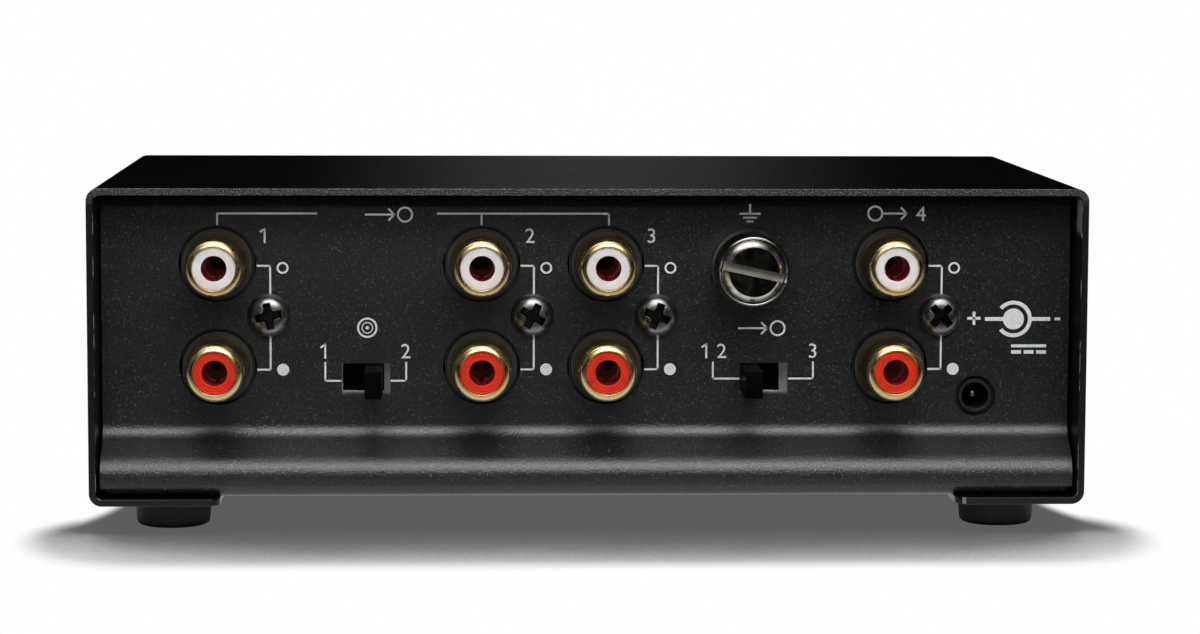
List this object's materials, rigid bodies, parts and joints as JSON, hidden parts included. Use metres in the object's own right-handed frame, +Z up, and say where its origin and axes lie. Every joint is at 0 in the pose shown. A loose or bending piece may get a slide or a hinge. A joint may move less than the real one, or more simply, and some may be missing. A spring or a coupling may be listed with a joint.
{
  "type": "phono preamp",
  "caption": "Small phono preamplifier in a folded steel sleeve, with stacked jacks, slide switches, an earth terminal and a power inlet on a recessed connector panel.",
  "frame": {"origin": "under the middle of the case, on the surface that the feet stand on, in the middle of the overall box", "axes": "+X to the right of someone facing the connectors, +Y from the connectors to the fascia, +Z up"},
  "size_m": [0.14, 0.0816, 0.0486],
  "materials": {
    "black_wrinkle_paint": "textured satin powder coat",
    "dark_panel_paint": "fine satin powder coat",
    "black_moulding": "satin moulded",
    "zinc_steel": "bright zinc plating",
    "clear_lens": "polished",
    "black_rubber": "matte moulded",
    "green_board": "satin solder mask",
    "gold_plate": "bright gold plating",
    "white_insert": "satin moulded",
    "red_insert": "satin moulded",
    "tinned_metal": "bright tin plating",
    "dark_nickel": "dark nickel plating",
    "nickel_plate": "bright nickel plating",
    "brown_laminate": "matte laminate",
    "black_epoxy": "matte moulded",
    "blue_sleeve": "shrunk plastic sleeve",
    "red_film_box": "gloss moulded",
    "tan_lacquer": "gloss lacquer",
    "legend_ink": "matte screen-printed ink"
  },
  "bodies": {
    "case": {"cover": "black_wrinkle_paint", "chassis_tray": "dark_panel_paint", "front_fascia": "black_moulding", "fascia_screws": "zinc_steel", "indicator_lens": "clear_lens", "indicator_led": "clear_lens", "rear_left_foot": "black_rubber", "rear_right_foot": "black_rubber", "front_left_foot": "black_rubber", "front_right_foot": "black_rubber", "foot_screws": "zinc_steel", "main_board": "green_board", "board_standoffs": "zinc_steel", "board_screws": "zinc_steel", "coil_in_housing": "black_moulding", "coil_in_left_shell": "gold_plate", "coil_in_right_shell": "gold_plate", "coil_in_left_insert": "white_insert", "coil_in_right_insert": "red_insert", "coil_in_contacts": "tinned_metal", "magnet_in_housing": "black_moulding", "magnet_in_left_shell": "gold_plate", "magnet_in_right_shell": "gold_plate", "magnet_in_left_insert": "white_insert", "magnet_in_right_insert": "red_insert", "magnet_in_contacts": "tinned_metal", "line_in_housing": "black_moulding", "line_in_left_shell": "gold_plate", "line_in_right_shell": "gold_plate", "line_in_left_insert": "white_insert", "line_in_right_insert": "red_insert", "line_in_contacts": "tinned_metal", "line_out_housing": "black_moulding", "line_out_left_shell": "gold_plate", "line_out_right_shell": "gold_plate", "line_out_left_insert": "white_insert", "line_out_right_insert": "red_insert", "line_out_contacts": "tinned_metal", "jack_screws": "dark_nickel", "earth_nut": "nickel_plate", "earth_lug": "tinned_metal", "cartridge_switch_frame": "zinc_steel", "cartridge_switch_base": "brown_laminate", "cartridge_switch_terminals": "tinned_metal", "source_switch_frame": "zinc_steel", "source_switch_base": "brown_laminate", "source_switch_terminals": "tinned_metal", "power_inlet_body": "black_moulding", "power_inlet_pin": "tinned_metal", "amplifier_chips": "black_epoxy", "electrolytic_capacitors": "blue_sleeve", "film_capacitors": "red_film_box", "resistors": "tan_lacquer"},
    "cartridge_selector": {"cartridge_switch_slider": "black_moulding", "cartridge_switch_bridges": "tinned_metal"},
    "source_selector": {"source_switch_slider": "black_moulding", "source_switch_bridges": "tinned_metal"},
    "earth_washer": {"earth_washer": "nickel_plate"},
    "earth_screw": {"earth_thumb_screw": "nickel_plate"}
  },
  "joints": [
    {"name": "cartridge_selector_slide", "type": "slide", "parent": "case", "child": "cartridge_selector", "axis": [1, 0, 0], "range_m": [-0.0032, 0]},
    {"name": "source_selector_slide", "type": "slide", "parent": "case", "child": "source_selector", "axis": [1, 0, 0], "range_m": [0, 0.0032]},
    {"name": "earth_screw_advance", "type": "slide", "parent": "case", "child": "earth_washer", "axis": [0, -1, 0], "range_m": [0, 0.0035]},
    {"name": "earth_screw_turn", "type": "hinge", "parent": "earth_washer", "child": "earth_screw", "pos_m": [0.0229, -0.0322, 0.037], "axis": [0, -1, 0], "range_deg": [0, 1800]}
  ],
  "couplings": [
    {"joint": "earth_screw_turn", "follows": "earth_screw_advance", "rad_per_m": 8976}
  ]
}
